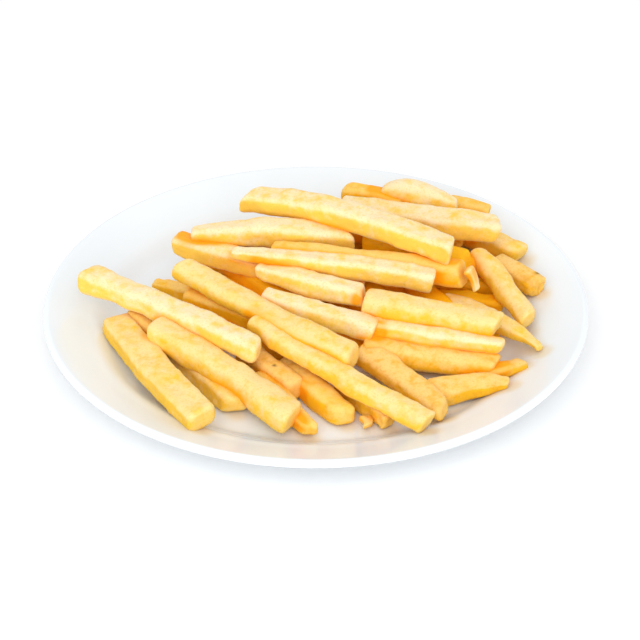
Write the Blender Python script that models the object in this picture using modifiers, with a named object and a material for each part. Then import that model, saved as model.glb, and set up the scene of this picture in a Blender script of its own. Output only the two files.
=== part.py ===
"""A portion of thick-cut potato fries heaped on a round white dinner plate.

Two solids: the glazed plate, turned about the vertical axis, and the heap of
fries, one solid out to its uneven outline.  The origin is the middle of the
plate's foot, on the table; +Z is up and the fries are served facing -Y.
"""

import math
from typing import NamedTuple

import bmesh
import bpy
from mathutils import Matrix, Vector

MM = 0.001

# Plate, in millimetres.
PLATE_RADIUS = 115.0
FLOOR_HEIGHT = 7.0        # flat floor of the well above the table
WELL_RADIUS = 84.0        # where the floor starts to rise
RIM_INNER_RADIUS = 97.0   # where the well's wall becomes the rim
WALL_RISE = 6.0
RIM_RISE = 7.5
BODY_THICKNESS = 4.0
LIP_RADIUS = 1.7          # rounded edge of the rim
FOOT_OUTER_RADIUS = 68.0
FOOT_WIDTH = 5.0
FOOT_ROUND = 0.8
TURN_STEPS = 64
WALL_STEPS = 6            # profile points across the curved wall
ROUND_STEPS = 5           # profile points round the lip

# Heap, in millimetres.
CONTACT_GAP = 0.3         # between the fries and the glaze they lie on
TRIM_DEPTH = 40.0         # how far the trimming solid reaches below the table
CORE_MIDDLE = (6.0, 0.0, 8.0)
CORE_HALF_SIZES = (70.0, 48.0, 21.0)
FILL_LENGTH = 0.74        # share of a fry's length that has the heap's body under it
FILL_WIDTH = 0.8          # share of its width
FUSE_SIZE = 2.4           # grain at which touching fries become one solid
HEAP_FACES = 5600         # faces kept on the fused heap

GLAZE_COLOR = (0.93, 0.93, 0.93, 1.0)
FRY_COLOR = (0.98, 0.70, 0.28, 1.0)


class Fry(NamedTuple):
    """One fry: the middle of its two cut ends, its width and depth, in mm.

    tip is the size of the right-hand end against the rest of the fry.
    """

    left: tuple
    right: tuple
    width: float
    depth: float
    tip: float = 1.0


# The fries that make the heap's outline, from the plate's floor upwards.
FLOOR_FRIES = (
    Fry((-85, -11, 13.5), (-43.5, -86, 18), 12, 9.5),
    Fry((-66, -21, 11.5), (-31, -68, 11.5), 9.5, 8.5),
    Fry((-78, -8, 15), (-63, -23, 14), 8, 8),
    Fry((-24, -50, 11), (-2, -84, 11), 8.5, 8, 0.65),
    Fry((-30, -33, 14), (-8, -60, 13), 9.5, 9),
    Fry((-12, -38, 11.5), (12.5, -76, 11.5), 10, 9),
    Fry((10, -52, 11), (29, -78, 11), 8, 8),
    Fry((45, -62, 12), (77, -57, 14.5), 10, 7.5, 0.45),
    Fry((62, -51, 12), (84, -42, 14.2), 8, 7, 0.6),
    Fry((-71, 20, 12.5), (-46, 9, 12), 8, 8),
)
MIDDLE_FRIES = (
    Fry((78, 30, 18), (96, 10, 17), 9.5, 8),
    Fry((66, 51, 19), (92, 36, 18.5), 10, 9),
    Fry((53, -4, 19), (92, -34, 15.5), 8.5, 7.5, 0.4),
    Fry((-66, -29, 22), (-9, -82, 15), 11.5, 9.5),
    Fry((-54, 0, 19), (-20, -22, 19), 9, 8),
    Fry((19, -38, 17), (50, -76, 14.5), 11, 8.5),
    Fry((20, -36, 18), (73, -47, 16), 11, 9),
    Fry((-98, 5, 26), (-23, -50, 25), 10, 9),
    Fry((20, -29, 24), (76, -42, 22), 7.5, 6.5),
    Fry((-26, -29, 26), (43, -87, 17), 8, 8),
    Fry((70, 26, 24), (89, -16, 17), 9.5, 9),
    Fry((12, 68, 33), (39, 59, 31), 8.5, 8),
    Fry((59, 66, 26), (78, 59, 25), 7.5, 8),
)
TOP_FRIES = (
    Fry((29, 62, 36), (61, 54, 33), 9.5, 9.5, 0.5),
    Fry((12, 51, 32), (80, 33, 32), 10.5, 9),
    Fry((20, -20, 29), (74, -35, 27), 10, 9),
    Fry((-62, 32, 26), (19, -4, 24), 10.5, 9),
    Fry((-22, -12, 27), (24, -34, 24), 9.5, 8),
    Fry((-18, 14, 32), (62, -1, 31), 9, 9),
    Fry((-25, 2, 31), (20, -15, 29), 9.5, 9),
    Fry((-57, 5, 30), (15, -54, 25), 11, 9.5),
    Fry((-36, 11, 34), (49, -8, 32), 10, 9),
    Fry((-54, 31, 31), (14, 26, 33), 12, 9.5),
    Fry((-32, 47, 40), (5, 31, 44.5), 11.5, 10),
    Fry((5, 31, 44.5), (57, 1, 41), 11.5, 10),
)
# The heap's far slope, down to the plate.
BACK_FRIES = (
    Fry((-44, 40, 18), (10, 58, 18), 9, 9),
    Fry((-30, 60, 12), (34, 70, 12), 9, 9),
    Fry((2, 76, 13), (54, 62, 14), 9, 9),
    Fry((28, 48, 20), (74, 58, 15), 9, 9),
    Fry((8, 66, 21), (66, 44, 22), 9, 9),
    Fry((-26, 46, 24), (30, 40, 26), 9, 9),
    Fry((-50, 38, 22), (4, 24, 24), 9, 9),
)


def wall_height(radius):
    """Return the height of the plate's upper face at a radius, in mm."""
    across = min(max((radius - WELL_RADIUS) / (RIM_INNER_RADIUS - WELL_RADIUS), 0.0), 1.0)
    along_rim = max((radius - RIM_INNER_RADIUS) / (PLATE_RADIUS - RIM_INNER_RADIUS), 0.0)
    smooth = across * across * (3.0 - 2.0 * across)
    return FLOOR_HEIGHT + WALL_RISE * smooth + RIM_RISE * along_rim


def upper_face_points(last_radius):
    """Return (radius, height) points of the plate's upper face, axis outwards."""
    radii = [0.0, WELL_RADIUS * 0.5]
    for step in range(WALL_STEPS + 1):
        radii.append(WELL_RADIUS + (RIM_INNER_RADIUS - WELL_RADIUS) * step / WALL_STEPS)
    radii.append(last_radius)
    return [(radius, wall_height(radius)) for radius in radii]


def plate_profile():
    """Return the closed side of the plate's section, from the axis round to the axis."""
    lip_middle_radius = PLATE_RADIUS - LIP_RADIUS
    rim_slope = math.atan2(RIM_RISE, PLATE_RADIUS - RIM_INNER_RADIUS)
    upper = upper_face_points(lip_middle_radius - LIP_RADIUS * math.sin(rim_slope))
    lip_middle_height = wall_height(lip_middle_radius) - LIP_RADIUS / math.cos(rim_slope)
    lip = []
    for step in range(1, ROUND_STEPS + 1):
        angle = math.pi / 2 + rim_slope - math.pi * step / ROUND_STEPS
        lip.append((lip_middle_radius + LIP_RADIUS * math.cos(angle),
                    lip_middle_height + LIP_RADIUS * math.sin(angle)))
    under = []
    for radius, height in reversed(upper_face_points(RIM_INNER_RADIUS)[2:-1]):
        under.append((radius + BODY_THICKNESS * 0.5, height - BODY_THICKNESS))
    body_bottom = FLOOR_HEIGHT - BODY_THICKNESS
    foot_inner = FOOT_OUTER_RADIUS - FOOT_WIDTH
    foot = [
        (FOOT_OUTER_RADIUS + FOOT_ROUND, body_bottom),
        (FOOT_OUTER_RADIUS, FOOT_ROUND),
        (FOOT_OUTER_RADIUS - FOOT_ROUND, 0.0),
        (foot_inner + FOOT_ROUND, 0.0),
        (foot_inner, FOOT_ROUND),
        (foot_inner - FOOT_ROUND, body_bottom),
        (0.0, body_bottom),
    ]
    return upper + lip + under + foot


def trim_profile():
    """Return the section of everything below the fries: the upper face raised by the gap."""
    raised = [(radius, height + CONTACT_GAP) for radius, height in upper_face_points(PLATE_RADIUS)]
    return raised + [(PLATE_RADIUS, -TRIM_DEPTH), (0.0, -TRIM_DEPTH)]


def turned_object(name, profile, collection):
    """Turn a profile of (radius, height) points in mm once round the Z axis."""
    mesh = bpy.data.meshes.new(name)
    points = [(radius * MM, 0.0, height * MM) for radius, height in profile]
    edges = [(index, index + 1) for index in range(len(points) - 1)]
    mesh.from_pydata(points, edges, [])
    turned = bpy.data.objects.new(name, mesh)
    collection.objects.link(turned)
    screw = turned.modifiers.new("turn", "SCREW")
    screw.angle = 2.0 * math.pi
    screw.steps = TURN_STEPS
    screw.render_steps = TURN_STEPS
    screw.use_merge_vertices = True
    screw.merge_threshold = 0.00005
    screw.use_smooth_shade = True
    return turned


def add_fry(heap_mesh, fry):
    """Add one fry to the mesh: a square bar from one cut end to the other."""
    left = Vector(fry.left) * MM
    right = Vector(fry.right) * MM
    along = (right - left).normalized()
    across = Vector((0.0, 0.0, 1.0)).cross(along).normalized()
    upwards = along.cross(across)
    turn = Matrix((along, across, upwards)).transposed().to_4x4()
    bar = bmesh.ops.create_cube(heap_mesh, size=1.0)["verts"]
    length = (right - left).length
    for corner in bar:
        end_scale = fry.tip if corner.co.x > 0.0 else 1.0
        corner.co.x *= length
        corner.co.y *= fry.width * MM * end_scale
        corner.co.z *= fry.depth * MM * end_scale
    bmesh.ops.transform(heap_mesh, verts=bar, matrix=Matrix.Translation((left + right) / 2.0) @ turn)


def add_filling(heap_mesh, fry):
    """Add the body of the heap under one fry: an upright block from its middle line to the floor."""
    left = Vector(fry.left) * MM
    right = Vector(fry.right) * MM
    middle = (left + right) / 2.0
    level = Vector((right.x - left.x, right.y - left.y, 0.0))
    turn = Matrix.Rotation(math.atan2(level.y, level.x), 4, "Z")
    block = bmesh.ops.create_cube(heap_mesh, size=1.0)["verts"]
    for corner in block:
        on_line = corner.co.z > 0.0
        corner.co.z = 0.0 if on_line else -middle.z
        corner.co.z += (right.z - left.z) * FILL_LENGTH * corner.co.x if on_line else 0.0
        corner.co.x *= level.length * FILL_LENGTH
        corner.co.y *= fry.width * MM * FILL_WIDTH
    bmesh.ops.transform(heap_mesh, verts=block, matrix=Matrix.Translation(middle) @ turn)


def add_core(heap_mesh):
    """Add the rounded middle of the heap, which fills it behind its outer fries."""
    ball = bmesh.ops.create_uvsphere(heap_mesh, u_segments=32, v_segments=16, radius=1.0)["verts"]
    sizes = Matrix.Diagonal(Vector(CORE_HALF_SIZES) * MM).to_4x4()
    place = Matrix.Translation(Vector(CORE_MIDDLE) * MM)
    bmesh.ops.transform(heap_mesh, verts=ball, matrix=place @ sizes)


def keep_largest_shell(mesh):
    """Remove every loose shell but the one with the most vertices."""
    shells = bmesh.new()
    shells.from_mesh(mesh)
    unseen = set(shells.verts)
    largest = set()
    while unseen:
        start = unseen.pop()
        shell = {start}
        frontier = [start]
        while frontier:
            vertex = frontier.pop()
            for edge in vertex.link_edges:
                other = edge.other_vert(vertex)
                if other in unseen:
                    unseen.discard(other)
                    shell.add(other)
                    frontier.append(other)
        if len(shell) > len(largest):
            largest = shell
    spare = [vertex for vertex in shells.verts if vertex not in largest]
    bmesh.ops.delete(shells, geom=spare, context="VERTS")
    shells.to_mesh(mesh)
    shells.free()


def evaluated_mesh(source):
    """Return a new mesh of the object with its modifiers worked out."""
    depsgraph = bpy.context.evaluated_depsgraph_get()
    return bpy.data.meshes.new_from_object(source.evaluated_get(depsgraph))


def fused_fries(collection):
    """Return one mesh of all the fries and the core, fused where they touch."""
    bars = bmesh.new()
    for fry in FLOOR_FRIES + MIDDLE_FRIES + TOP_FRIES + BACK_FRIES:
        add_fry(bars, fry)
        add_filling(bars, fry)
    add_core(bars)
    loose_mesh = bpy.data.meshes.new("loose_fries")
    bars.to_mesh(loose_mesh)
    bars.free()
    loose = bpy.data.objects.new("loose_fries", loose_mesh)
    collection.objects.link(loose)
    fuse = loose.modifiers.new("fuse", "REMESH")
    fuse.mode = "VOXEL"
    fuse.voxel_size = FUSE_SIZE * MM
    bpy.context.view_layer.update()
    fused = evaluated_mesh(loose)
    bpy.data.objects.remove(loose)
    keep_largest_shell(fused)
    return fused


def build_heap(collection, cutters):
    """Build the heap of fries, trimmed to lie on the plate with the contact gap."""
    heap = bpy.data.objects.new("fries_heap", fused_fries(cutters))
    collection.objects.link(heap)
    thin = heap.modifiers.new("fewer_faces", "DECIMATE")
    thin.ratio = min(1.0, HEAP_FACES / (2.0 * len(heap.data.polygons)))
    below = turned_object("below_the_fries", trim_profile(), cutters)
    below.hide_render = True
    below.display_type = "WIRE"
    trim = heap.modifiers.new("rest_on_plate", "BOOLEAN")
    trim.operation = "DIFFERENCE"
    trim.solver = "EXACT"
    trim.object = below
    heap.data.materials.append(plain_material("fried_potato", FRY_COLOR, 0.55))
    return heap


def plain_material(name, color, roughness):
    """Return a Principled material of one colour."""
    material = bpy.data.materials.new(name)
    material.use_nodes = True
    shader = material.node_tree.nodes["Principled BSDF"]
    shader.inputs["Base Color"].default_value = color
    shader.inputs["Roughness"].default_value = roughness
    shader.inputs["Metallic"].default_value = 0.0
    return material


def new_collection(name):
    """Return a new collection linked to the scene."""
    collection = bpy.data.collections.new(name)
    bpy.context.scene.collection.children.link(collection)
    return collection


def main():
    """Clear the scene and build the plate and the fries on it."""
    for old in list(bpy.data.objects):
        bpy.data.objects.remove(old)
    parts = new_collection("french_fries_portion")
    cutters = new_collection("cutters")
    plate = turned_object("plate", plate_profile(), parts)
    plate.data.materials.append(plain_material("white_glaze", GLAZE_COLOR, 0.15))
    build_heap(parts, cutters)


main()
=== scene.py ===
"""Looks of a portion of thick-cut potato fries on a round white plate.

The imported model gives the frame: the plate, and one closed heap that stands for
the fries.  Here the heap is replaced by separate fries over a smaller core, and
the plate by the same turned form in a finer mesh under a white glaze.  Sizes in
the layout are millimetres; every mesh is in metres in the model's own frame.
"""

import itertools
import logging
import math
from dataclasses import dataclass, field, replace
from enum import Enum
from typing import Iterable, Sequence

import bpy
import numpy as np
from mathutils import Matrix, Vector


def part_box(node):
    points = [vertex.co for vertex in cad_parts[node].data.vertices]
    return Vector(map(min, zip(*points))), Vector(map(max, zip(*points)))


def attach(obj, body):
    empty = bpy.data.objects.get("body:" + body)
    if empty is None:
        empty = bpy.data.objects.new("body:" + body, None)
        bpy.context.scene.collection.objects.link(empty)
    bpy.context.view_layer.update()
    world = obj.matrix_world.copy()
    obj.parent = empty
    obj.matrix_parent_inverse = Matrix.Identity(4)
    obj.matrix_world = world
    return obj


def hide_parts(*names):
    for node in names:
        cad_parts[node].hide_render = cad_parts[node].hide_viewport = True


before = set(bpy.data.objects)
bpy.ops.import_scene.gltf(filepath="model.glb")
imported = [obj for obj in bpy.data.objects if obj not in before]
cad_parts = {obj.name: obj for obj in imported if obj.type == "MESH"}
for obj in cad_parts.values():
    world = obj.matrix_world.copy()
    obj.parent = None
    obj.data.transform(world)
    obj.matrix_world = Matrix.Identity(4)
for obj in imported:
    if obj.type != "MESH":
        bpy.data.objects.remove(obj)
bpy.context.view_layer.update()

LOG = logging.getLogger("fries")
MM = 0.001
NO_FRY = -1
Point = tuple[float, float, float]
Color = tuple[float, float, float]
OLIVE: Color = (0.46, 0.34, 0.06)
BURNT: Color = (0.05, 0.02, 0.008)


# ---------------------------------------------------------------- layout

class FryKind(Enum):
    """How long a fry spent near the hot side, which sets its colour and skin; the hidden kind is painted
    shade instead.
    """

    PALE = "pale"
    STRAW = "straw"
    GOLDEN = "golden"
    BROWNED = "browned"
    # Painted shade: fries below and behind others, coloured as if in shadow.
    HIDDEN = "under"


@dataclass(frozen=True)
class Fry:
    """One fry: where its two cut ends are and how it was cut.

    Attributes:
        left: Middle of the left cut end, mm.
        right: Middle of the right cut end, mm.
        width: Size across, level with the table, mm.
        depth: Size upright, mm.
        kind: Its finish.
        roll: Turn about its own length, degrees.
        bend: Sideways bow of its middle, mm.
        sag: How far its middle hangs below the straight line, mm.
        peak: Share of the length at which bend and sag are greatest.
        tips: Size of the left and right ends against the middle.
        cuts: Slant of the left and right cuts seen from above, degrees.
        ends: How round the edges of the left and right cut ends are, mm.
        ragged: Height of the torn bumps at the left and right ends, mm.
        dots: Places of small scorched dots: share of the length, turn round it in degrees.
    """

    left: Point
    right: Point
    width: float = 9.0
    depth: float = 9.0
    kind: FryKind = FryKind.PALE
    roll: float = 0.0
    bend: float = 0.0
    sag: float = 0.0
    peak: float = 0.5
    tips: tuple[float, float] = (1.0, 1.0)
    cuts: tuple[float, float] = (0.0, 0.0)
    ends: tuple[float, float] = (1.5, 1.5)
    ragged: tuple[float, float] = (0.0, 0.0)
    dots: tuple[tuple[float, float], ...] = ()

    def middle_line(self) -> np.ndarray:
        """Return three places on the fry's bent middle line, one row each, mm."""
        left, right = np.array(self.left), np.array(self.right)
        forward = (right - left) / np.linalg.norm(right - left)
        sideways = np.cross((0.0, 0.0, 1.0), forward)
        sideways /= np.linalg.norm(sideways)
        middle = left + self.peak * (right - left) + self.bend * sideways
        middle -= self.sag * np.cross(forward, sideways)
        return np.stack([left, middle, right])


PALE, STRAW, GOLDEN = FryKind.PALE, FryKind.STRAW, FryKind.GOLDEN
BROWNED, HIDDEN = FryKind.BROWNED, FryKind.HIDDEN

# The fries of the heap's near side, from the plate's floor upwards.
FLOOR_FRIES = (
    Fry((-85, -11, 13.5), (-43.5, -86, 18), 12, 9.5, STRAW, roll=4, bend=-1, tips=(0.85, 0.95),
        cuts=(10, -5), ends=(2.5, 2)),
    Fry((-66, -21, 11.5), (-31, -68, 11.5), 9.5, 8.5, STRAW, bend=1, tips=(1.0, 0.9), cuts=(0, 35),
        ends=(1.5, 2.5)),
    Fry((-78, -8, 15), (-63, -23, 14), 8, 8, GOLDEN, tips=(0.7, 1.0), cuts=(20, 0), ends=(2.5, 1.5)),
    Fry((-24, -50, 11), (-2, -84, 11), 8.5, 8, GOLDEN, tips=(1.0, 0.65), cuts=(0, 30), ends=(1.5, 2.2)),
    Fry((-30, -33, 14), (-8, -60, 13), 9.5, 9, BROWNED, tips=(1.0, 0.85), ends=(1.5, 2),
        dots=((0.62, 100.0),)),
    Fry((-12, -38, 11.5), (12.5, -76, 11.5), 10, 9, GOLDEN, bend=-1, tips=(1.0, 0.9), cuts=(0, 10),
        ends=(1.5, 3)),
    Fry((10, -52, 11), (29, -78, 11), 8, 8, BROWNED, tips=(1.0, 0.8), ragged=(0, 0.8)),
    Fry((45, -62, 12), (77, -57, 14.5), 10, 7.5, BROWNED, roll=12, bend=1.5, tips=(1.1, 0.45),
        cuts=(0, 20)),
    Fry((62, -51, 12), (84, -42, 14.2), 8, 7, BROWNED, tips=(1.0, 0.6), cuts=(0, -30), ragged=(0, 0.5)),
    Fry((-71, 20, 12.5), (-46, 9, 12), 8, 8, GOLDEN, tips=(0.7, 1.0), ends=(2, 1.5)),
    Fry((17.5, -74, 10), (19.5, -79.5, 9.3), 3.4, 2.6, BROWNED, bend=1.2, ends=(1.1, 1.0),
        ragged=(0.5, 0.5)),
    Fry((63.5, -3, 35), (67.5, -5, 25), 5, 3.4, PALE, bend=1.5, tips=(1.0, 0.7), ends=(1.2, 1.0),
        ragged=(0.4, 0.4)),
)
MIDDLE_FRIES = (
    Fry((78, 30, 18), (96, 10, 17), 9.5, 8, BROWNED, tips=(1.0, 0.85), ragged=(0, 0.9),
        dots=((0.85, 60.0), (0.95, -30.0))),
    Fry((66, 51, 19), (92, 36, 18.5), 10, 9, STRAW, tips=(1.0, 0.9), cuts=(0, 15), ends=(1.5, 3.2)),
    Fry((53, -4, 19), (92, -34, 15.5), 8.5, 7.5, STRAW, bend=3, tips=(1.0, 0.4), cuts=(0, 20)),
    Fry((-66, -29, 22), (-9, -82, 15), 11.5, 9.5, STRAW, roll=-3, bend=2, sag=1, tips=(0.9, 1.05),
        cuts=(-10, -15), ends=(2, 2)),
    Fry((-54, 0, 19), (-20, -22, 19), 9, 8, GOLDEN),
    Fry((19, -38, 17), (50, -76, 14.5), 11, 8.5, BROWNED, roll=6, bend=1, tips=(1.05, 0.8),
        cuts=(-20, -25), ends=(1.5, 2.2)),
    Fry((20, -36, 18), (73, -47, 16), 11, 9, BROWNED, roll=-4, sag=1, tips=(1.0, 0.8), cuts=(0, 15),
        ends=(1.5, 2)),
    Fry((-98, 5, 26), (-23, -50, 25), 10, 9, PALE, sag=0.5, bend=2, tips=(1.1, 0.9), cuts=(10, -20),
        ends=(3.2, 2.5)),
    Fry((20, -29, 24), (76, -42, 22), 7.5, 6.5, PALE, bend=-1, tips=(1.0, 0.85), cuts=(0, 15),
        ends=(1.5, 2.4)),
    Fry((-26, -29, 26), (43, -87, 17), 8, 8, STRAW, bend=-2, tips=(0.9, 1.05), cuts=(0, 0),
        ends=(1.5, 1.2)),
    Fry((70, 26, 24), (89, -16, 17), 9.5, 9, STRAW, bend=1, tips=(0.85, 0.9), cuts=(10, -20),
        ends=(2.5, 2)),
    Fry((12, 67, 32), (39, 57, 30), 10, 10, GOLDEN, sag=-0.8, tips=(1.0, 1.0), ends=(4, 1.5)),
    Fry((59, 66, 26), (78, 59, 25), 7.5, 8, GOLDEN, tips=(1.0, 0.95)),
)
TOP_FRIES = (
    Fry((29, 61, 35.5), (63, 53, 32.5), 10, 11, PALE, sag=-2, peak=0.4, tips=(0.7, 0.5), ends=(3, 2)),
    Fry((12, 52, 32), (80, 34, 32), 12, 10, PALE, roll=5, tips=(0.9, 0.9), cuts=(0, -20), ends=(1.5, 3.5)),
    Fry((20, -20, 29), (74, -35, 27), 10, 9, STRAW, sag=-0.5, cuts=(0, 12)),
    Fry((-62, 32, 27), (19, -4, 24), 10, 8.5, PALE, bend=-1, tips=(0.95, 1.0), ends=(3.5, 1.5)),
    Fry((-22, -12, 27), (24, -34, 24), 9.5, 8, PALE, tips=(0.7, 0.9), cuts=(0, -10)),
    Fry((-18, 14, 32), (62, -1, 31), 9, 9, GOLDEN, cuts=(0, 15), ends=(1.5, 0.8)),
    Fry((-25, 2, 31), (20, -15, 29), 9.5, 9, PALE, roll=-4, sag=0.5, tips=(0.5, 0.9), cuts=(0, -10),
        ends=(2, 1.5)),
    Fry((-57, 5, 30), (15, -54, 25), 11, 9.5, STRAW, roll=3, sag=0.5, tips=(0.9, 1.0), cuts=(15, -15),
        ends=(2, 2)),
    Fry((-36, 11, 34), (49, -8, 32), 10, 9, PALE, roll=-2, sag=-1, tips=(0.5, 1.0), cuts=(0, -4),
        ends=(2.5, 1.2)),
    Fry((-54, 30, 31), (14, 24, 33), 12.5, 11, PALE, sag=-2.5, tips=(0.6, 0.8), cuts=(0, -40), ends=(2, 2)),
    Fry((-32, 47, 38.5), (57, 1, 40.5), 11.5, 10.5, PALE, roll=3, bend=3.5, sag=-3.2, peak=0.4,
        tips=(0.9, 1.0), cuts=(10, -15), ends=(3, 1.5)),
)
# The far slope and the fries behind gaps, then the fries that the outer ones lie on.
BACK_FRIES = (
    Fry((-44, 40, 18), (10, 58, 18), 9, 9, STRAW, cuts=(10, 10)),
    Fry((-30, 60, 12), (34, 70, 12), 9, 9, PALE, tips=(0.9, 1.0)),
    Fry((2, 76, 13), (54, 62, 14), 9, 9, GOLDEN),
    Fry((28, 48, 20), (74, 58, 15), 9, 9, BROWNED),
    Fry((8, 66, 21), (66, 44, 22), 9, 9, GOLDEN),
    Fry((-26, 44, 25), (30, 38, 29), 9, 9, GOLDEN),
    # These two behind the gaps carry the painted-shade finish.
    Fry((22, 31, 27), (65, 12, 27), 10, 10, HIDDEN),
    Fry((34, 18, 21), (70, 22, 21), 9, 9, HIDDEN),
    Fry((-50, 38, 22), (4, 24, 24), 9, 9, GOLDEN),
)
UNDER_FRIES = (
    Fry((-56, -12, 11.5), (-2, -26, 11.5), kind=HIDDEN),
    Fry((-44, 4, 11.5), (6, -12, 11.5), kind=HIDDEN),
    Fry((-54, 22, 11.5), (8, 2, 11.5), kind=HIDDEN),
    Fry((-48, 38, 11.5), (18, 18, 11.5), kind=HIDDEN),
    Fry((-34, 52, 11.5), (30, 34, 11.5), kind=HIDDEN),
    Fry((16, -30, 11.5), (66, -38, 11.5), kind=HIDDEN),
    Fry((12, -18, 11.5), (72, -26, 11.5), kind=HIDDEN),
    Fry((14, -4, 11.5), (78, -12, 11.5), kind=HIDDEN),
    Fry((18, 10, 11.5), (80, 4, 11.5), kind=HIDDEN),
    Fry((26, 24, 11.5), (78, 20, 11.5), kind=HIDDEN),
    Fry((34, 38, 11.5), (76, 36, 11.7), kind=HIDDEN),
    Fry((0, 62, 11.5), (56, 52, 11.5), kind=HIDDEN),
    Fry((-50, 12, 19), (-14, -30, 19), kind=HIDDEN),
    Fry((-40, 32, 19), (0, -20, 19), kind=HIDDEN),
    Fry((-20, 42, 19), (24, -12, 19), kind=HIDDEN),
    Fry((6, 38, 19), (34, -20, 19), kind=HIDDEN),
    Fry((34, 32, 19), (56, -22, 19), kind=HIDDEN),
)


# ---------------------------------------------------------------- mesh tools

def lattice_noise(points: np.ndarray, cell: float, seed: int) -> np.ndarray:
    """Return smooth random values between -1 and 1.

    Each corner of a cubic lattice of side cell holds a random value, and a point
    gets the blend of its eight corners by the smooth step 3t^2 - 2t^3.

    Args:
        points: Array of places, one row each.
        cell: Side of the lattice, in the points' unit.
        seed: Picks the random values.

    Returns:
        One value for each point.
    """
    scaled = points / cell
    base = np.floor(scaled).astype(np.int64)
    part = scaled - base
    part = part * part * (3.0 - 2.0 * part)
    total = np.zeros(len(points))
    for corner in itertools.product((0, 1), repeat=3):
        offset = np.array(corner)
        key = (base + offset) @ np.array([73856093, 19349663, 83492791]) + seed * 40503
        key = (key ^ (key >> 15)) * 1274126177 & 0xFFFFFFFF
        key = (key ^ (key >> 13)) * 1103515245 & 0xFFFFFFFF
        value = ((key >> 8) & 0xFFFF) / 32767.5 - 1.0
        total += value * np.prod(np.where(offset == 1, part, 1.0 - part), axis=1)
    return total


@dataclass
class Surface:
    """A mesh under construction: places in metres, faces and per-point values."""

    points: list[np.ndarray] = field(default_factory=list)
    quads: list[np.ndarray] = field(default_factory=list)
    triangles: list[np.ndarray] = field(default_factory=list)
    values: dict[str, list[np.ndarray]] = field(default_factory=dict)
    count: int = 0

    def add(self, points: np.ndarray, quads: np.ndarray, triangles: np.ndarray,
            **values: np.ndarray) -> None:
        """Append one closed shape.

        Args:
            points: Places in metres, one row each.
            quads: Four point numbers for each face.
            triangles: Three point numbers for each face.
            **values: One number for each point, by attribute name.
        """
        self.points.append(points)
        self.quads.append(quads + self.count)
        self.triangles.append(triangles + self.count)
        for name, numbers in values.items():
            self.values.setdefault(name, []).append(numbers)
        self.count += len(points)

    def build(self, name: str) -> bpy.types.Object:
        """Return the mesh object, shaded smooth and linked to the scene.

        Args:
            name: Name of the object.
        """
        points = np.concatenate(self.points)
        quads = np.concatenate(self.quads)
        triangles = np.concatenate(self.triangles)
        mesh = bpy.data.meshes.new(name)
        mesh.vertices.add(len(points))
        mesh.vertices.foreach_set("co", points.astype(np.float32).ravel())
        corners = np.concatenate([quads.ravel(), triangles.ravel()])
        totals = np.concatenate([np.full(len(quads), 4), np.full(len(triangles), 3)])
        starts = np.concatenate([[0], np.cumsum(totals)[:-1]])
        mesh.loops.add(len(corners))
        mesh.loops.foreach_set("vertex_index", corners.astype(np.int32))
        mesh.polygons.add(len(totals))
        mesh.polygons.foreach_set("loop_start", starts.astype(np.int32))
        mesh.polygons.foreach_set("use_smooth", np.ones(len(totals), dtype=bool))
        mesh.update(calc_edges=True)
        for attribute, numbers in self.values.items():
            layer = mesh.attributes.new(attribute, "FLOAT", "POINT")
            layer.data.foreach_set("value", np.concatenate(numbers).astype(np.float32))
        mesh.validate()
        made = bpy.data.objects.new(name, mesh)
        bpy.context.scene.collection.objects.link(made)
        return made


def closed_tube_faces(rings: int, around: int) -> tuple[np.ndarray, np.ndarray]:
    """Return the faces of rings joined side by side, closed by a pole at each end.

    Point numbers run ring after ring, then the first pole and the last pole.

    Args:
        rings: Number of rings.
        around: Points on each ring.

    Returns:
        The quads between rings and the triangles at the two poles.
    """
    ring, turn = np.meshgrid(np.arange(rings - 1), np.arange(around), indexing="ij")
    after = (turn + 1) % around
    quads = np.stack([ring * around + turn, (ring + 1) * around + turn,
                      (ring + 1) * around + after, ring * around + after], axis=-1).reshape(-1, 4)
    step = np.arange(around)
    following = (step + 1) % around
    first, last = rings * around, rings * around + 1
    near = np.stack([np.full(around, first), step, following], axis=-1)
    far = np.stack([np.full(around, last), (rings - 1) * around + following,
                    (rings - 1) * around + step], axis=-1)
    return quads, np.concatenate([near, far])


def ring_normals(grid: np.ndarray) -> np.ndarray:
    """Return outward unit normals of a grid of rings, from differences of its neighbours.

    Args:
        grid: Places, ring by ring and point by point.
    """
    along = np.gradient(grid, axis=0)
    around = np.roll(grid, -1, axis=1) - np.roll(grid, 1, axis=1)
    normal = np.cross(around, along)
    return normal / np.maximum(np.linalg.norm(normal, axis=2, keepdims=True), 1e-12)


# ---------------------------------------------------------------- fries

@dataclass(frozen=True)
class FryCut:
    """How finely a fry's skin is worked and how uneven it is, in millimetres.

    Attributes:
        row: Distance between rings.
        around: Points on each ring.
        squareness: Power of the rounded square; higher is sharper.
        swell: Size against the layout's, which makes up for the rounded corners.
        lump: Height of the broad lumps.
        wrinkle: Height of the wrinkles.
        blister: Height of the finest bumps.
        square_range: Least and greatest change of the squareness from fry to fry.
        dent_range: Least and greatest push of each of the four faces.
        unevenness: Share by which width and depth vary along the fry.
        wander: How far the middle line wanders sideways.
        shear: Greatest share of the height by which the section leans over.
        twist: Greatest half turn from end to end, degrees.
        lean: Greatest slant of a cut seen from the side, degrees.
        cut_reach: How far from its end a slanted cut is felt.
    """

    row: float = 0.75
    around: int = 56
    swell: float = 1.1
    squareness: float = 3.3
    lump: float = 0.6
    wrinkle: float = 0.24
    blister: float = 0.08
    square_range: tuple[float, float] = (-0.8, 1.2)
    dent_range: tuple[float, float] = (-0.5, 0.35)
    unevenness: float = 0.09
    wander: float = 0.8
    shear: float = 0.16
    twist: float = 10.0
    lean: float = 16.0
    cut_reach: float = 7.0


HIDDEN_CUT = FryCut(row=1.6, around=32)


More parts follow.
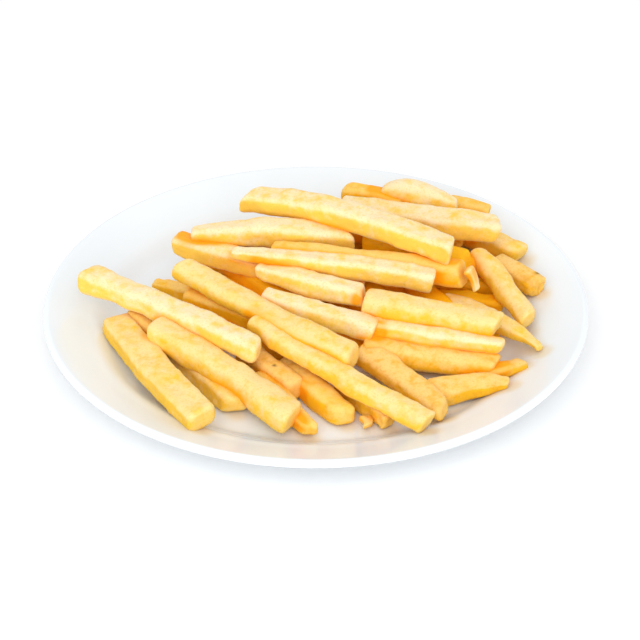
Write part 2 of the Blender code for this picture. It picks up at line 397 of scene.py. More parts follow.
@dataclass(frozen=True)
class Crowd:
    """The middle lines of all fries, to find how close a place lies to another fry.

    Attributes:
        starts: Where each straight piece of a middle line starts, mm.
        steps: From its start to its end, mm.
        radii: Half the thickness of its fry, mm.
        owners: Number of its fry.
        reach: How far from another fry its closeness is felt, mm.
        shelter_reach: The same for a fry that lies above, mm.
        shelter: Greatest closeness given by a fry above that does not touch.
        overhead: How much higher a fry lies that counts as above, mm.
    """

    starts: np.ndarray
    steps: np.ndarray
    radii: np.ndarray
    owners: np.ndarray
    reach: float = 2.4
    shelter_reach: float = 7.0
    shelter: float = 0.5
    overhead: float = 3.0

    @classmethod
    def of(cls, fries: Sequence[Fry]) -> "Crowd":
        """Return the crowd of a layout.

        Args:
            fries: All fries in their order.
        """
        lines = np.stack([fry.middle_line() for fry in fries])
        radii = np.array([0.5 * min(fry.width, fry.depth) for fry in fries])
        steps = lines[:, 1:] - lines[:, :-1]
        return cls(lines[:, :-1].reshape(-1, 3), steps.reshape(-1, 3), np.repeat(radii, 2),
                   np.repeat(np.arange(len(fries)), 2))

    def closeness(self, places: np.ndarray, owner: int) -> np.ndarray:
        """Return 1 where another fry touches, falling to 0 away from it.

        The gap to a fry is the distance to its middle line less its half thickness,
        and the closeness is e^(-gap/reach) for the nearest one.  A fry overhead
        shelters from farther off, by shelter * e^(-gap/shelter_reach).

        Args:
            places: Places in mm, one row each.
            owner: Number of the fry the places belong to, which is left out.
        """
        others = self.owners != owner
        starts, steps, radii = self.starts[others], self.steps[others], self.radii[others]
        away = places[:, None, :] - starts[None]
        share = np.clip((away * steps).sum(axis=2) / (steps * steps).sum(axis=1), 0.0, 1.0)
        away -= share[..., None] * steps
        gap = np.clip(np.linalg.norm(away, axis=2) - radii, 0.0, None)
        above = np.where(away[..., 2] < -self.overhead, np.exp(-gap / self.shelter_reach), 0.0).max(axis=1)
        return np.maximum(np.exp(-gap.min(axis=1) / self.reach), self.shelter * above)


@dataclass
class FryShape:
    """The surface of one fry: a rounded square carried along a slightly bent line.

    Attributes:
        fry: Place and cut of the fry.
        cut: Fineness and unevenness.
        seed: Picks its random bends, dents and lumps.
    """

    fry: Fry
    cut: FryCut
    seed: int

    def ring_places(self, length: float) -> tuple[np.ndarray, np.ndarray]:
        """Return how far along each ring lies and how large it is against the full section.

        The rings start small on the flat of the left cut, grow round its edge by a
        quarter circle, run along the fry and shrink again on the right cut.

        Args:
            length: Length of the fry, mm.

        Returns:
            Places along the fry in mm, and sizes from 0 to 1.
        """
        half = 0.5 * min(self.fry.width, self.fry.depth)
        turn = np.linspace(0.0, 0.5 * math.pi, 7)
        place, size = [], []
        for end_round in self.fry.ends:
            flat = np.array([0.15, 0.3, 0.45, 0.6, 0.8]) * (1.0 - end_round / half)
            place.append(np.concatenate([np.zeros(5), end_round * (1.0 - np.cos(turn))]))
            size.append(np.concatenate([flat, 1.0 - end_round / half * (1.0 - np.sin(turn))]))
        inner = length - sum(self.fry.ends)
        rows = max(int(inner / self.cut.row), 8)
        middle = np.linspace(self.fry.ends[0], length - self.fry.ends[1], rows + 1)[1:-1]
        return (np.concatenate([place[0], middle, length - place[1][::-1]]),
                np.concatenate([size[0], np.ones(len(middle)), size[1][::-1]]))

    def points_and_values(self) -> tuple[np.ndarray, np.ndarray, np.ndarray, dict[str, np.ndarray]]:
        """Return the fry's points in mm, its faces and its values.

        Section: radius r(a) = (|cos a|^n + |sin a|^n)^(-1/n), a square with round
        corners, scaled by half the width and depth, sheared a little, with each face
        pushed in or out by a dent that fades towards the corners.  The middle line
        is straight plus bend 4u(1-u) sideways and sag 4u(1-u) downwards, where u is the
        share of the length shifted so that the peak falls at one half, with a slow
        wobble.  The skin then moves along its normal by three sizes of smooth noise,
        and more near a ragged end.

        Returns:
            Points, quads, triangles, and the values edge, under, tone and scorch.
        """
        fry, cut = self.fry, self.cut
        rng = np.random.default_rng(self.seed)
        left, right = np.array(fry.left), np.array(fry.right)
        length = float(np.linalg.norm(right - left))
        place, size = self.ring_places(length)
        share = (place / length)[:, None]
        angle = (np.arange(cut.around) + 0.5) * 2.0 * math.pi / cut.around
        power = cut.squareness + rng.uniform(*cut.square_range)
        radius = (np.abs(np.cos(angle)) ** power + np.abs(np.sin(angle)) ** power) ** (-1.0 / power)
        corner = (radius - 1.0) / (radius.max() - 1.0)
        dents = rng.uniform(*cut.dent_range, 4)
        facing = np.stack([np.cos(angle), np.sin(angle), -np.cos(angle), -np.sin(angle)])
        dent = (dents[:, None] * np.clip(facing, 0.0, 1.0) ** 5).sum(axis=0)

        slow = np.stack([place, np.full_like(place, self.seed * 17.3), np.zeros_like(place)], axis=1)
        tapers = [0.32 * length if tip < 0.75 else min(12.0, 0.3 * length) for tip in fry.tips]
        tips = 1.0 + (fry.tips[0] - 1.0) * np.exp(-(share * length / tapers[0]) ** 1.5) \
            + (fry.tips[1] - 1.0) * np.exp(-((1.0 - share) * length / tapers[1]) ** 1.5)
        wide = tips * (1.0 + cut.unevenness * lattice_noise(slow, 17.0, self.seed)[:, None])
        deep = tips * (1.0 + cut.unevenness * lattice_noise(slow, 14.0, self.seed + 5)[:, None])
        full = cut.swell * size[:, None]
        across = full * wide * (0.5 * fry.width * radius + dent) * np.cos(angle)
        upright = full * deep * (0.5 * fry.depth * radius + dent) * np.sin(angle)
        across = across + rng.uniform(-cut.shear, cut.shear) * upright

        twist = np.radians(fry.roll + rng.uniform(-cut.twist, cut.twist) * (share - 0.5))
        side_shift = across * np.cos(twist) - upright * np.sin(twist)
        up_shift = across * np.sin(twist) + upright * np.cos(twist)
        turned = share ** (math.log(0.5) / math.log(fry.peak))
        bow = 4.0 * turned * (1.0 - turned)
        wobble = cut.wander * lattice_noise(slow, 15.0, self.seed + 9)[:, None] * np.clip(bow * 2.0, 0.0, 1.0)
        side_shift = side_shift + fry.bend * bow + wobble
        up_shift = up_shift - fry.sag * bow

        lean = np.radians(rng.uniform(-cut.lean, cut.lean, 2))
        slant = [math.tan(math.radians(cut_angle)) for cut_angle in fry.cuts]
        near = np.exp(-place / cut.cut_reach)[:, None]
        far = np.exp(-(length - place) / cut.cut_reach)[:, None]
        along_shift = place[:, None] + near * (slant[0] * across + math.tan(lean[0]) * upright) \
            + far * (slant[1] * across + math.tan(lean[1]) * upright)

        forward = (right - left) / length
        sideways = np.cross((0.0, 0.0, 1.0), forward)
        sideways /= np.linalg.norm(sideways)
        upwards = np.cross(forward, sideways)
        grid = left + along_shift[..., None] * forward + side_shift[..., None] * sideways \
            + up_shift[..., None] * upwards
        normal = ring_normals(grid)
        # How far the surface faces down: the mask of the painted shade on the sides and underside.
        under = 0.5 - 0.5 * normal[..., 2]
        local = np.stack([np.broadcast_to(place[:, None], across.shape), across, upright], axis=-1)
        local = local.reshape(-1, 3) + rng.uniform(-500.0, 500.0, 3)
        torn = fry.ragged[0] * np.exp(-(place / 4.0) ** 2)
        torn = torn + fry.ragged[1] * np.exp(-((length - place) / 4.0) ** 2)
        skin = cut.lump * lattice_noise(local, 8.0, self.seed + 1) \
            + cut.wrinkle * lattice_noise(local, 2.8, self.seed + 2) \
            + cut.blister * lattice_noise(local, 1.2, self.seed + 3)
        skin = skin.reshape(across.shape)
        skin = skin + torn[:, None] * lattice_noise(local, 2.2, self.seed + 4).reshape(across.shape)
        body = (0.35 + 0.65 * np.clip(size, 0.0, 1.0) ** 2)[:, None]
        grid = grid + normal * (skin * body)[..., None]

        poles = np.stack([grid[0].mean(axis=0), grid[-1].mean(axis=0)])
        points = np.concatenate([grid.reshape(-1, 3), poles])
        # Corners and cut ends: the mask of the painted highlight, and of the brown on browned edges.
        cut_edge = np.clip(1.0 - np.minimum(place, length - place) / 2.5, 0.0, 1.0)[:, None]
        edge = np.clip(corner[None, :] ** 1.5 * body + cut_edge * 0.8, 0.0, 1.0)
        tone = np.full(len(points), rng.uniform(-1.0, 1.0))
        scorch = np.zeros(across.shape)
        for dot_share, dot_turn in fry.dots:
            off_place = (share - dot_share) * length
            off_turn = np.angle(np.exp(1j * (angle - math.radians(dot_turn)))) * 0.5 * fry.width
            scorch = np.maximum(scorch, np.exp(-(off_place ** 2 + off_turn[None, :] ** 2) / 0.5))
        quads, triangles = closed_tube_faces(len(place), cut.around)
        values = {name: np.concatenate([field_values.ravel(), np.full(2, field_values.mean())])
                  for name, field_values in (("edge", edge), ("under", under), ("scorch", scorch))}
        return points, quads[:, ::-1], triangles[:, ::-1], {**values, "tone": tone}


# ---------------------------------------------------------------- shader tools

class Shading:
    """A node tree under construction, with short calls for the nodes used here."""

    def __init__(self, tree: bpy.types.NodeTree) -> None:
        """Start on a tree.

        Args:
            tree: The material's or the group's node tree.
        """
        self.tree = tree

    def node(self, kind: str, **settings: object) -> bpy.types.Node:
        """Return a new node with its properties set.

        Args:
            kind: Blender's node type.
            **settings: Property names and values.
        """
        made = self.tree.nodes.new(kind)
        for name, value in settings.items():
            setattr(made, name, value)
        return made

    def feed(self, socket: bpy.types.NodeSocket, value: object) -> None:
        """Link a socket to another, or set its number or colour.

        Args:
            socket: The input to fill.
            value: An output socket, a number or a colour.
        """
        if isinstance(value, bpy.types.NodeSocket):
            self.tree.links.new(value, socket)
        elif isinstance(value, tuple) and len(value) == 3 and socket.type == "RGBA":
            socket.default_value = (*value, 1.0)
        else:
            socket.default_value = value

    def attribute(self, name: str) -> bpy.types.NodeSocket:
        """Return the value of a mesh attribute.

        Args:
            name: Name of the attribute.
        """
        return self.node("ShaderNodeAttribute", attribute_name=name).outputs["Fac"]

    def object_place(self) -> bpy.types.NodeSocket:
        """Return the place in the object's own coordinates, metres."""
        return self.node("ShaderNodeTexCoord").outputs["Object"]

    def math(self, operation: str, first: object, second: object = 0.0,
             clamp: bool = False) -> bpy.types.NodeSocket:
        """Return the outcome of a sum on one or two values.

        Args:
            operation: Blender's name of the sum.
            first: First value or socket.
            second: Second value or socket.
            clamp: Whether the outcome stays between 0 and 1.
        """
        made = self.node("ShaderNodeMath", operation=operation, use_clamp=clamp)
        self.feed(made.inputs[0], first)
        self.feed(made.inputs[1], second)
        return made.outputs[0]

    def noise(self, place: object, per_metre: float, detail: float = 2.0,
              rough: float = 0.5) -> bpy.types.NodeSocket:
        """Return smooth noise around 0.5.

        Args:
            place: Where it is read.
            per_metre: Number of waves in a metre.
            detail: Number of finer layers.
            rough: Strength of the finer layers.
        """
        made = self.node("ShaderNodeTexNoise")
        self.feed(made.inputs["Vector"], place)
        self.feed(made.inputs["Scale"], per_metre)
        self.feed(made.inputs["Detail"], detail)
        self.feed(made.inputs["Roughness"], rough)
        return made.outputs["Fac"]

    def spread(self, value: object, low: float, high: float, start: float = 0.0,
               end: float = 1.0) -> bpy.types.NodeSocket:
        """Return a value stretched smoothly from one range to another and held at its ends.

        Args:
            value: The value or socket.
            low: Start of the range read.
            high: End of the range read.
            start: Outcome at low.
            end: Outcome at high.
        """
        made = self.node("ShaderNodeMapRange", interpolation_type="SMOOTHSTEP")
        for index, number in enumerate((value, low, high, start, end)):
            self.feed(made.inputs[index], number)
        return made.outputs[0]

    def mix(self, amount: object, first: object, second: object,
            blend: str = "MIX") -> bpy.types.NodeSocket:
        """Return a blend of two colours.

        Args:
            amount: Share of the second.
            first: First colour or socket.
            second: Second colour or socket.
            blend: Blender's name of the blend.
        """
        made = self.node("ShaderNodeMix", data_type="RGBA", blend_type=blend)
        self.feed(made.inputs["Factor"], amount)
        self.feed(made.inputs[6], first)
        self.feed(made.inputs[7], second)
        return made.outputs[2]


def group_of(shading: Shading, tree: bpy.types.NodeTree, **values: object) -> bpy.types.Node:
    """Place a node group in a material and fill its inputs.

    Args:
        shading: The material's node tree.
        tree: The group's tree.
        **values: Input names, with _ for a space, and their values.

    Returns:
        The group node.
    """
    made = shading.node("ShaderNodeGroup", node_tree=tree)
    for name, value in values.items():
        shading.feed(made.inputs[name.replace("_", " ")], value)
    return made


def fried_skin_group() -> bpy.types.NodeTree:
    """Return the group that colours the skin of a fry and gives its fine relief.

    The pale colour turns golden in broad random patches and, as painted shade, on
    the sides and underside; it turns deep orange as painted crevice shade where
    another fry lies close or overhead, stays paler at the edges and cut ends as a
    painted highlight, and turns brown in blotches.  Inputs are the four colours
    and how far they spread; outputs are the skin's colour, its roughness and its
    relief.
    """
    tree = bpy.data.node_groups.new("fried_skin", "ShaderNodeTree")
    sockets = tree.interface
    for name in ("Pale", "Golden", "Deep", "Brown"):
        sockets.new_socket(name, in_out="INPUT", socket_type="NodeSocketColor")
    for name in ("Golden Share", "Brown Share", "Freckles"):
        sockets.new_socket(name, in_out="INPUT", socket_type="NodeSocketFloat")
    sockets.new_socket("Color", in_out="OUTPUT", socket_type="NodeSocketColor")
    sockets.new_socket("Roughness", in_out="OUTPUT", socket_type="NodeSocketFloat")
    sockets.new_socket("Height", in_out="OUTPUT", socket_type="NodeSocketFloat")
    shading = Shading(tree)
    given = shading.node("NodeGroupInput").outputs
    place = shading.object_place()
    edge = shading.attribute("edge")
    tone = shading.attribute("tone")
    under = shading.attribute("under")
    close = shading.attribute("close")
    broad = shading.noise(place, 55.0, 1.0)
    blotch = shading.noise(place, 230.0, 2.0, 0.6)
    grain = shading.noise(place, 1100.0, 2.0, 0.6)

    golden = shading.math("ADD", shading.math("MULTIPLY", shading.spread(broad, 0.3, 0.7), 0.5),
                          shading.math("MULTIPLY", tone, 0.15))
    mottle = shading.math("MULTIPLY", shading.math("SUBTRACT", blotch, 0.52), 2.6)
    golden = shading.math("ADD", golden, mottle)
    golden = shading.math("MULTIPLY", golden, given["Golden Share"])
    # Painted shade: the sides and underside turn golden by how far they face down.
    golden = shading.math("ADD", golden, shading.spread(under, 0.18, 0.66, 0.0, 1.0), clamp=True)
    # Painted highlight: edges and cut ends keep less of the golden.
    golden = shading.math("MULTIPLY", golden, shading.spread(edge, 0.5, 1.0, 1.0, 0.55))
    color = shading.mix(golden, given["Pale"], given["Golden"])
    # Painted crevice shade: deep orange where another fry lies close or overhead, less at the edges.
    painted_crevice_shade = shading.math("MULTIPLY", shading.spread(close, 0.15, 0.9, 0.0, 0.95),
                          shading.spread(edge, 0.4, 1.0, 1.0, 0.55))
    color = shading.mix(painted_crevice_shade, color, given["Deep"])

    brown = shading.math("MULTIPLY", shading.spread(blotch, 0.5, 0.72), given["Brown Share"])
    rubbed = shading.math("MULTIPLY", shading.math("MULTIPLY", edge, given["Brown Share"]),
                          shading.spread(broad, 0.5, 0.75))
    brown = shading.math("ADD", brown, rubbed, clamp=True)
    color = shading.mix(brown, color, given["Brown"])
    freckle = shading.math("MULTIPLY", shading.spread(grain, 0.5, 0.75), given["Freckles"])
    color = shading.mix(freckle, color, shading.mix(0.5, given["Golden"], OLIVE))
    color = shading.mix(shading.attribute("scorch"), color, BURNT)

    out = shading.node("NodeGroupOutput")
    shading.feed(out.inputs["Color"], color)
    shading.feed(out.inputs["Roughness"], shading.spread(blotch, 0.3, 0.7, 0.42, 0.6))
    shading.feed(out.inputs["Height"], shading.math("ADD", shading.math("MULTIPLY", blotch, 0.6),
                                                    shading.math("MULTIPLY", grain, 0.4)))
    return tree


@dataclass(frozen=True)
class FriedFinish:
    """Colours and gloss of one kind of fry, as linear colour.

    Attributes:
        pale: Colour of the lightly fried skin.
        golden: Colour of where it fried longer, and the painted shade on the sides and underside.
        deep: Colour of the painted crevice shade, where another fry lies close or overhead.
        brown: Colour of its darkest patches.
        golden_share: How far the golden colour spreads.
        brown_share: How far the brown spreads.
        freckles: Strength of the fine olive freckles.
        relief: Height of the skin's grain, mm.
    """

    pale: Color = (0.93, 0.74, 0.45)
    golden: Color = (0.94, 0.62, 0.10)
    deep: Color = (0.97, 0.38, 0.002)
    brown: Color = (0.60, 0.29, 0.03)
    golden_share: float = 0.9
    brown_share: float = 0.06
    freckles: float = 0.4
    relief: float = 0.14

    def material(self, name: str, skin: bpy.types.NodeTree) -> bpy.types.Material:
        """Return the finish as a material.

        Args:
            name: Name of the material.
            skin: The fried_skin group.
        """
        material = bpy.data.materials.new(name)
        material.use_nodes = True
        shading = Shading(material.node_tree)
        shader = material.node_tree.nodes["Principled BSDF"]
        look = group_of(shading, skin, Pale=self.pale, Golden=self.golden, Deep=self.deep, Brown=self.brown,
                        Golden_Share=self.golden_share, Brown_Share=self.brown_share, Freckles=self.freckles)
        shading.feed(shader.inputs["Base Color"], look.outputs["Color"])
        shading.feed(shader.inputs["Roughness"], look.outputs["Roughness"])
        bump = shading.node("ShaderNodeBump")
        bump.inputs["Strength"].default_value = 0.6
        bump.inputs["Distance"].default_value = self.relief * MM
        shading.feed(bump.inputs["Height"], look.outputs["Height"])
        shading.feed(shader.inputs["Normal"], bump.outputs["Normal"])
        shader.inputs["Specular IOR Level"].default_value = 0.12
        shader.inputs["Subsurface Weight"].default_value = 0.2
        shader.inputs["Subsurface Radius"].default_value = (1.0, 0.55, 0.2)
        shader.inputs["Subsurface Scale"].default_value = 0.003
        return material


FRIED = {
    FryKind.PALE: FriedFinish(),
    FryKind.STRAW: FriedFinish(pale=(0.93, 0.67, 0.29), golden=(0.93, 0.56, 0.05), golden_share=1.0),
    FryKind.GOLDEN: FriedFinish(pale=(0.93, 0.62, 0.18), golden=(0.94, 0.49, 0.01), golden_share=0.9),
    FryKind.BROWNED: FriedFinish(pale=(0.93, 0.60, 0.20), golden=(0.93, 0.49, 0.02), brown=(0.62, 0.28, 0.02),
                                 golden_share=0.9, brown_share=0.3, freckles=0.5, relief=0.25),
    # Painted shade: deep orange all over, for fries that lie in shadow.
    FryKind.HIDDEN: FriedFinish(pale=(0.96, 0.48, 0.006), golden=(0.98, 0.42, 0.002), golden_share=0.9),
}


@dataclass
class FryPile:
    """All the loose fries of one kind, joined in one mesh.

    Attributes:
        kind: Which finish they share.
        fries: Their numbers in the layout and their places.
        cut: Fineness of their skin.
        crowd: All fries of the layout.
    """

    kind: FryKind
    fries: Sequence[tuple[int, Fry]]
    cut: FryCut
    crowd: Crowd

    def build(self, skin: bpy.types.NodeTree) -> bpy.types.Object:
        """Build the fries as one piece and put it in the frame.

        Args:
            skin: The fried_skin group.

        Returns:
            The piece.
        """
        surface = Surface()
        for number, fry in self.fries:
            points, quads, triangles, values = FryShape(fry, self.cut, 100 + 31 * number).points_and_values()
            # Closeness to other fries: the mask of the painted crevice shade.
            close = self.crowd.closeness(points, number)
            surface.add(points * MM, quads, triangles, close=close, **values)
        piece = surface.build(f"{self.kind.value}_fries")
        piece.data.materials.append(FRIED[self.kind].material(f"{self.kind.value}_fried_potato", skin))
        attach(piece, "root")
        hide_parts("fries_heap")
        return piece


@dataclass
class HeapCore:
    """The smaller body of the heap that closes the gaps behind the loose fries.

    Attributes:
        middle: Place of its centre on the plate, mm.
        half_sizes: Half its length, width and its height above the floor, mm.
        lumps: Height of its lumps, mm.
        rings: Rings from the middle to the edge.
        around: Points on each ring.
    """

    middle: tuple[float, float] = (4.0, 2.0)
    half_sizes: Point = (58.0, 36.0, 13.0)
    lumps: float = 2.0
    rings: int = 60
    around: int = 160

    def build(self, floor: float, skin: bpy.types.NodeTree) -> bpy.types.Object:
        """Build the core on the plate's floor.

        Height above the floor is h * sqrt(1 - q^2) at the share q of the way from
        the middle to the edge, plus smooth lumps; the underside is flat.

        Args:
            floor: Height of the plate's floor, mm.
            skin: The fried_skin group.

        Returns:
            The piece.
        """
        share = np.concatenate([np.sin(np.linspace(0.03, 0.5 * math.pi, self.rings)), [0.6, 0.2]])[:, None]
        angle = (np.arange(self.around) * 2.0 * math.pi / self.around)[None, :]
        over = np.zeros(share.shape)
        over[: self.rings] = np.sqrt(np.clip(1.0 - share[: self.rings] ** 2, 0.0, 1.0))
        long, wide, high = self.half_sizes
        grid = np.stack(np.broadcast_arrays(self.middle[0] + long * share * np.cos(angle),
                                            self.middle[1] + wide * share * np.sin(angle),
                                            floor + 0.4 + high * over), axis=-1).astype(float)
        lump = lattice_noise(grid.reshape(-1, 3), 9.0, 71).reshape(grid.shape[:2])
        grid[..., 2] += self.lumps * lump * over
        poles = np.stack([grid[0].mean(axis=0), grid[-1].mean(axis=0)])
        points = np.concatenate([grid.reshape(-1, 3), poles]) * MM
        quads, triangles = closed_tube_faces(len(share), self.around)
        surface = Surface()
        flat = np.zeros(len(points))
        # Painted shade: the core is coloured as deep in shadow, by the hidden finish and a closeness of 0.6
        # everywhere.
        surface.add(points, quads, triangles, edge=flat, tone=flat, scorch=flat, under=flat, close=flat + 0.6)
        piece = surface.build("heap_core")
        piece.data.materials.append(FRIED[FryKind.HIDDEN].material("core_fried_potato", skin))
        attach(piece, "root")
        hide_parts("fries_heap")
        return piece


# ---------------------------------------------------------------- plate

@dataclass(frozen=True)
class WhiteGlaze:
    """The smooth white glaze of the plate.

    Attributes:
        color: Its colour, linear.
        oil: Colour of the painted shadow and reflection of the fries beside them.
        oil_share: How far the painted shadow and reflection hide the glaze.
        roughness: Its gloss.
        ripple: Height of its faint unevenness, mm.
    """

    color: Color = (0.835, 0.885, 0.925)
    oil: Color = (0.72, 0.50, 0.16)
    oil_share: float = 0.4
    roughness: float = 0.16
    ripple: float = 0.03

    def material(self) -> bpy.types.Material:
        """Return the glaze as a material with slow changes of tone and gloss."""
        material = bpy.data.materials.new("white_glaze_finish")
        material.use_nodes = True
        shading = Shading(material.node_tree)
        shader = material.node_tree.nodes["Principled BSDF"]
        place = shading.object_place()
        slow = shading.noise(place, 18.0, 2.0)
        deeper = tuple(0.975 * channel for channel in self.color)
        glaze = shading.mix(shading.spread(slow, 0.35, 0.65), self.color, deeper)
        # Painted shadow and reflection of the fries, tinting the glaze where they lie close.
        oiled = shading.math("MULTIPLY", shading.spread(shading.attribute("oil"), 0.25, 1.0), self.oil_share)
        shading.feed(shader.inputs["Base Color"], shading.mix(oiled, glaze, self.oil))
        shading.feed(shader.inputs["Roughness"],
                     shading.spread(slow, 0.3, 0.7, self.roughness, self.roughness + 0.06))
        bump = shading.node("ShaderNodeBump")
        bump.inputs["Strength"].default_value = 0.25
        bump.inputs["Distance"].default_value = self.ripple * MM
        shading.feed(bump.inputs["Height"], shading.noise(place, 120.0, 1.0))
        shading.feed(shader.inputs["Normal"], bump.outputs["Normal"])
        shader.inputs["Coat Weight"].default_value = 0.3
        shader.inputs["Coat Roughness"].default_value = 0.08
        return material


@dataclass
class Plate:
    """The round plate, turned about the upright axis through its middle, in mm.

    Attributes:
        radius: Outer radius, taken from the frame.
        floor: Height of the flat floor of the well.
        well_radius: Where the floor starts to rise.
        rim_inner: Where the wall becomes the rim.
        wall_rise: Height of the wall.
        rim_rise: How far the rim rises outwards.
        thickness: Thickness of the body.
        lip: Radius of the rounded edge.
        foot_outer: Outer radius of the foot ring.
        foot_width: Width of the foot ring.
        foot_round: Size of the bevels at the foot ring.
        around: Points on each ring.
        oil_reach: How far from a fry its painted shadow and reflection show on the glaze.
    """

    radius: float
    floor: float = 7.0
    well_radius: float = 84.0
    rim_inner: float = 97.0
    wall_rise: float = 6.0
    rim_rise: float = 7.5
    thickness: float = 4.0
    lip: float = 1.7
    foot_outer: float = 68.0
    foot_width: float = 5.0
    foot_round: float = 0.8
    around: int = 256
    oil_reach: float = 3.0

    def height(self, radius: np.ndarray) -> np.ndarray:
        """Return the height of the upper face: floor, smooth wall, straight rim.

        Args:
            radius: Distances from the axis, mm.
        """
        across = np.clip((radius - self.well_radius) / (self.rim_inner - self.well_radius), 0.0, 1.0)
        along_rim = np.clip((radius - self.rim_inner) / (self.radius - self.rim_inner), 0.0, 1.0)
        wall = self.wall_rise * across * across * (3.0 - 2.0 * across)
        return self.floor + wall + self.rim_rise * along_rim

    def profile(self) -> np.ndarray:
        """Return the section as radius and height, from the top's middle round to the underside's."""
        slope = math.atan2(self.rim_rise, self.radius - self.rim_inner)
        lip_radius = self.radius - self.lip
        top_end = lip_radius - self.lip * math.sin(slope)
        top_radius = np.concatenate([np.linspace(4.0, 44.0, 8), np.linspace(46.0, top_end, 64)])
        top = self.softened(np.stack([top_radius, self.height(top_radius)], axis=1))
        turn = np.linspace(0.5 * math.pi + slope, slope - 0.5 * math.pi, 14)[1:]
        lip_height = float(self.height(np.array([lip_radius]))[0]) - self.lip / math.cos(slope)
        lip = np.stack([lip_radius + self.lip * np.cos(turn), lip_height + self.lip * np.sin(turn)], axis=1)
        under_radius = np.linspace(self.rim_inner, self.well_radius, 14)
        under = np.stack([under_radius + 0.5 * self.thickness,
                          self.height(under_radius) - self.thickness], axis=1)
        bottom = self.floor - self.thickness
        foot_inner = self.foot_outer - self.foot_width
        foot = np.array([(self.foot_outer + self.foot_round, bottom), (self.foot_outer, self.foot_round),
                         (self.foot_outer - self.foot_round, 0.0), (foot_inner + self.foot_round, 0.0),
                         (foot_inner, self.foot_round), (foot_inner - self.foot_round, bottom),
                         (4.0, bottom)])
        return np.concatenate([top, lip, under, foot])

    @staticmethod
    def softened(points: np.ndarray) -> np.ndarray:
        """Return the points with heights averaged over their neighbours, which rounds the bends.

        Args:
            points: Radius and height, one row each.
        """
        height = points[:, 1].copy()
        for _ in range(6):
            height[1:-1] = 0.25 * height[:-2] + 0.5 * height[1:-1] + 0.25 * height[2:]
        return np.stack([points[:, 0], height], axis=1)

    def build(self, crowd: Crowd) -> bpy.types.Object:
        """Build the plate as one closed turned surface and put it in the frame.

        Args:
            crowd: All fries, whose painted shadow and reflection tint the glaze where they lie on the plate.

        Returns:
            The piece.
        """
        profile = self.profile()
        angle = np.arange(self.around) * 2.0 * math.pi / self.around
        grid = np.stack([profile[:, :1] * np.cos(angle), profile[:, :1] * np.sin(angle),
                         np.broadcast_to(profile[:, 1:], (len(profile), self.around))], axis=-1)
        poles = np.array([(0.0, 0.0, profile[0, 1]), (0.0, 0.0, profile[-1, 1])])
        points = np.concatenate([grid.reshape(-1, 3), poles])
        # Closeness to the fries: the mask of their painted shadow and reflection on the glaze.
        touching = replace(crowd, reach=self.oil_reach, shelter=0.0)
        surface = Surface()
        surface.add(points * MM, *closed_tube_faces(len(profile), self.around),
                    oil=touching.closeness(points, NO_FRY))
        piece = surface.build("glazed_plate")
        piece.data.materials.append(WhiteGlaze().material())
        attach(piece, "root")
        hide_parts("plate")
        return piece


# ---------------------------------------------------------------- studio

@dataclass(frozen=True)
class Studio:
    """A plain white table, soft white light from all round and one broad lamp above.

    Attributes:
        sky: Strength of the light from all round.
        lamp: Power of the broad lamp, W.
        lamp_place: Place of the lamp, m.
        lamp_size: Side of the lamp, m.
        floor_white: Colour of the table, linear.
        floor_size: Side of the table, m.
    """

    sky: float = 0.9
    lamp: float = 13.0
    lamp_place: Point = (-0.1, -1.2, 0.75)
    lamp_size: float = 1.4
    floor_white: float = 0.96
    floor_size: float = 8.0

    def build(self) -> bpy.types.Object:
        """Set the view, the sky and the lamp, and lay the table.

        Returns:
            The table.
        """
        scene = bpy.context.scene
        scene.view_settings.view_transform = "Standard"
        world = bpy.data.worlds.new("soft_white")
        world.use_nodes = True
        sky = world.node_tree.nodes["Background"]
        sky.inputs["Color"].default_value = (1.0, 1.0, 1.0, 1.0)
        sky.inputs["Strength"].default_value = self.sky
        scene.world = world
        light = bpy.data.lights.new("broad_lamp", "AREA")
        light.energy = self.lamp
        light.size = self.lamp_size
        lamp = bpy.data.objects.new("broad_lamp", light)
        lamp.location = self.lamp_place
        lamp.rotation_euler = (-Vector(self.lamp_place)).to_track_quat("-Z", "Y").to_euler()
        scene.collection.objects.link(lamp)
        return self.table()

    def table(self) -> bpy.types.Object:
        """Return the table top, a single level face at height zero."""
        half = 0.5 * self.floor_size
        mesh = bpy.data.meshes.new("table_top")
        corners = [(-half, -half, 0.0), (half, -half, 0.0), (half, half, 0.0), (-half, half, 0.0)]
        mesh.from_pydata(corners, [], [(0, 1, 2, 3)])
        top = bpy.data.objects.new("table_top", mesh)
        material = bpy.data.materials.new("white_table")
        material.use_nodes = True
        shader = material.node_tree.nodes["Principled BSDF"]
        shader.inputs["Base Color"].default_value = (self.floor_white,) * 3 + (1.0,)
        shader.inputs["Roughness"].default_value = 0.9
        mesh.materials.append(material)
        bpy.context.scene.collection.objects.link(top)
        return top


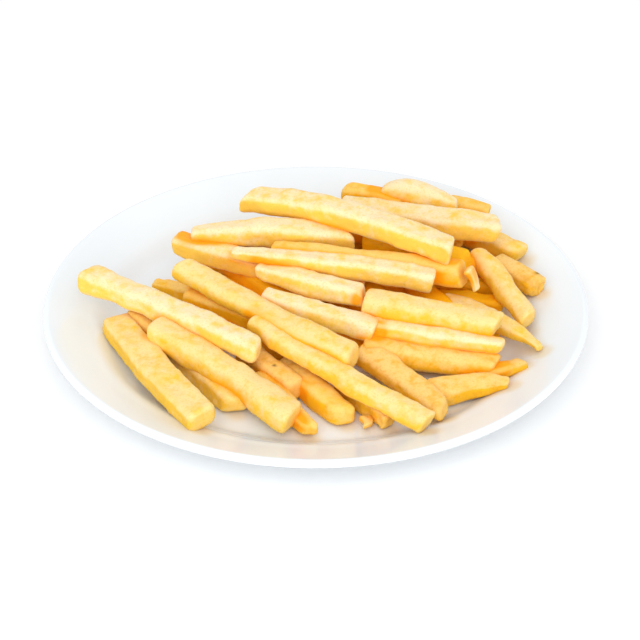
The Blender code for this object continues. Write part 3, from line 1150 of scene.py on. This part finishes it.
@dataclass(frozen=True)
class ServingCamera:
    """The camera in front of the plate, looking down on it.

    Attributes:
        distance: From the middle of the rim, m.
        elevation: Height of the view above level, degrees.
        lens: Focal length on a 36 mm sensor, mm.
        aim_right: How far right of the rim's middle it looks, m.
        aim_below: How far below the rim's middle it looks, m.
    """

    distance: float = 0.75
    elevation: float = 32.7
    lens: float = 99.3
    aim_right: float = 0.0017
    aim_below: float = 0.0105

    def build(self, rim_middle: Vector) -> bpy.types.Object:
        """Place the camera and make it the scene's.

        Args:
            rim_middle: The middle of the plate's rim, m.

        Returns:
            The camera.
        """
        rise = math.radians(self.elevation)
        away = Vector((0.0, -math.cos(rise), math.sin(rise)))
        upright = Vector((0.0, math.sin(rise), math.cos(rise)))
        place = rim_middle + away * self.distance
        aim = rim_middle + Vector((self.aim_right, 0.0, 0.0)) - upright * self.aim_below
        lens = bpy.data.cameras.new("serving_camera")
        lens.lens = self.lens
        lens.sensor_width = 36.0
        camera = bpy.data.objects.new("serving_camera", lens)
        camera.location = place
        camera.rotation_euler = (aim - place).to_track_quat("-Z", "Y").to_euler()
        bpy.context.scene.collection.objects.link(camera)
        bpy.context.scene.camera = camera
        return camera


# ---------------------------------------------------------------- the portion

def fries_by_kind(fries: Iterable[Fry]) -> dict[FryKind, list[tuple[int, Fry]]]:
    """Sort the fries by kind and number them in their order in the layout.

    Args:
        fries: The layout's fries.

    Returns:
        Number and fry, for each kind.
    """
    sorted_fries: dict[FryKind, list[tuple[int, Fry]]] = {kind: [] for kind in FryKind}
    for number, fry in enumerate(fries):
        sorted_fries[fry.kind].append((number, fry))
    return sorted_fries


def main() -> None:
    """Build the studio, the plate, the core and the fries, and report each piece."""
    logging.basicConfig(level=logging.INFO, format="%(message)s")
    low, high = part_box("plate")
    ServingCamera().build(Vector((0.0, 0.0, high[2])))
    Studio().build()
    plate = Plate(radius=float(high[0]) / MM)
    layout = FLOOR_FRIES + MIDDLE_FRIES + TOP_FRIES + BACK_FRIES + UNDER_FRIES
    crowd = Crowd.of(layout)
    pieces = [plate.build(crowd)]
    skin = fried_skin_group()
    pieces.append(HeapCore().build(plate.floor, skin))
    for kind, fries in fries_by_kind(layout).items():
        cut = HIDDEN_CUT if kind is FryKind.HIDDEN else FryCut()
        pieces.append(FryPile(kind, fries, cut, crowd).build(skin))
    for piece in pieces:
        LOG.info("%s: %d faces", piece.name, len(piece.data.polygons))


if __name__ == "__main__":
    main()
